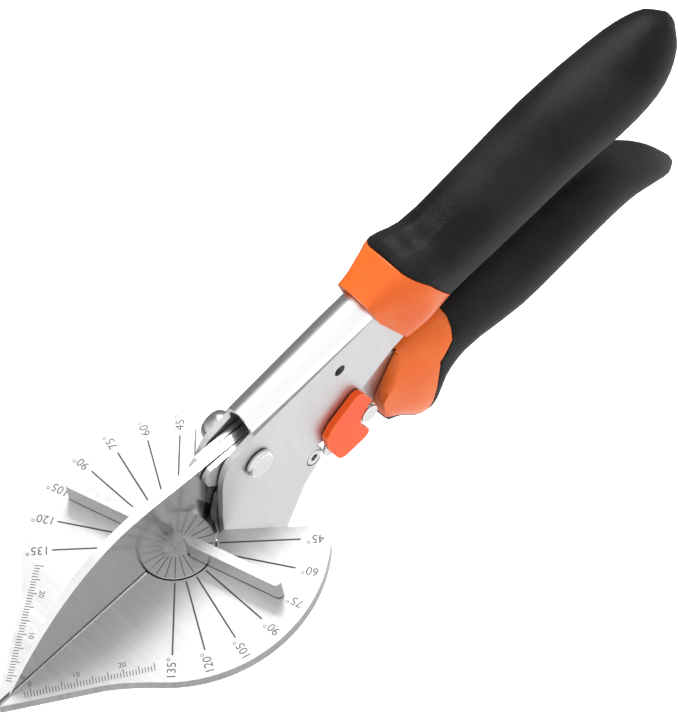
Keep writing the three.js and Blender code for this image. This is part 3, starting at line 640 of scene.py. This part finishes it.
# The straight front edge runs from tip to bend, measured from the protractor's centre
ruler = {
    "tip": (0.6 * mm, -58 * mm), "bend": (14.1 * mm, -38.28 * mm),
    "start": 6.4 * mm, "inset": 1.0 * mm, "pitch": 0.74 * mm, "ticks": 43, "zeroTick": 2,
    "short": 1.4 * mm, "long": 2.2 * mm, "width": 0.2 * mm,
    "longEvery": 5, "numeralEvery": 15, "lastNumeral": 40, "numeralStep": 10,
    "numeralSize": 1.9 * mm, "numeralInset": 4.3 * mm,
}
# The disc's grooves leave out those that a fence bar covers
discGrooves = {
    "from": 3.4 * mm, "to": 9.0 * mm, "width": 0.22 * mm,
    "angles": range(15, 180, 15), "barAngles": {1: 75, -1: 105}, "clear": 20,
}


def addBar(bm, along, across, middle, length, width, thickness):
    turn = Matrix((along, across, Vector((0, 0, 1)))).transposed().to_4x4()
    size = Matrix.Diagonal((length, width, thickness, 1))
    bmesh.ops.create_cube(bm, size=1, matrix=Matrix.Translation(plateCentre + middle) @ turn @ size)


def addText(bm, text, size, along, across, middle):
    data = bpy.data.curves.new("numeralOutline", "FONT")
    data.body, data.size, data.extrude = text, size, marks["thickness"] / 2
    data.align_x, data.align_y = "CENTER", "CENTER"
    data.resolution_u = marks["curveSteps"]
    shape = bpy.data.objects.new("numeralOutline", data)
    bpy.context.scene.collection.objects.link(shape)
    bpy.context.view_layer.update()
    depsgraph = bpy.context.evaluated_depsgraph_get()
    mesh = bpy.data.meshes.new_from_object(shape.evaluated_get(depsgraph))
    turn = Matrix((along, across, Vector((0, 0, 1)))).transposed().to_4x4()
    mesh.transform(Matrix.Translation(plateCentre + middle) @ turn)
    bm.from_mesh(mesh)
    bpy.data.objects.remove(shape)
    bpy.data.meshes.remove(mesh)


def inkPiece(bm, name, body):
    bmesh.ops.remove_doubles(bm, verts=bm.verts, dist=marks["weld"])
    bmesh.ops.recalc_face_normals(bm, faces=bm.faces)
    data = bpy.data.meshes.new(name)
    bm.to_mesh(data)
    bm.free()
    data.materials.append(finishes["ink"])
    piece = bpy.data.objects.new(name, data)
    bpy.context.scene.collection.objects.link(piece)
    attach(piece, body)


lift = Vector((0, 0, marks["thickness"] * marks["proud"]))


def outward(side, angle):
    t = math.radians(angle)
    return Vector((side * math.sin(t), math.cos(t), 0))


def quarterTurn(direction):
    return Vector((-direction.y, direction.x, 0))


def addSpoke(bm, out, sizes):
    middle = out * (sizes["from"] + sizes["to"]) / 2 + lift
    length = sizes["to"] - sizes["from"]
    addBar(bm, out, quarterTurn(out), middle, length, sizes["width"], marks["thickness"])


def addRuler(tickMesh, numeralMesh, side):
    tip, bend = (Vector((side * p[0], p[1], 0)) for p in (ruler["tip"], ruler["bend"]))
    along = (bend - tip).normalized()
    inward = side * quarterTurn(along)
    for tick in range(ruler["ticks"]):
        steps = tick - ruler["zeroTick"]
        isLong = steps >= 0 and steps % ruler["longEvery"] == 0
        length = ruler["long"] if isLong else ruler["short"]
        foot = tip + along * (ruler["start"] + tick * ruler["pitch"]) + inward * ruler["inset"]
        middle = foot + inward * length / 2 + lift
        addBar(tickMesh, inward, along * side, middle, length, ruler["width"], marks["thickness"])
        if isLong and steps % ruler["numeralEvery"] == 0 and steps < ruler["lastNumeral"]:
            label = str(steps // ruler["numeralEvery"] * ruler["numeralStep"])
            place = foot + inward * (ruler["numeralInset"] - ruler["inset"]) + lift
            addText(numeralMesh, label, ruler["numeralSize"], along * side, inward, place)


lineMesh, numeralMesh, rulerMesh, grooveMesh = (bmesh.new() for _ in range(4))
for side in (1, -1):
    for angle in marks["angles"]:
        out = outward(side, angle)
        addSpoke(lineMesh, out, marks)
        reading = out if side < 0 else -out
        place = out * marks["labelAt"] + lift
        addText(numeralMesh, f"{angle}°", marks["labelSize"], reading, quarterTurn(reading), place)
    addRuler(rulerMesh, numeralMesh, side)
    for angle in discGrooves["angles"]:
        if abs(angle - discGrooves["barAngles"][side]) >= discGrooves["clear"]:
            addSpoke(grooveMesh, outward(side, angle), discGrooves)
inkPiece(lineMesh, "angle_lines", "frame")
inkPiece(numeralMesh, "angle_numerals", "frame")
inkPiece(rulerMesh, "edge_rulers", "frame")
inkPiece(grooveMesh, "disc_lines", "fence")
print("marks, numerals and rulers made")
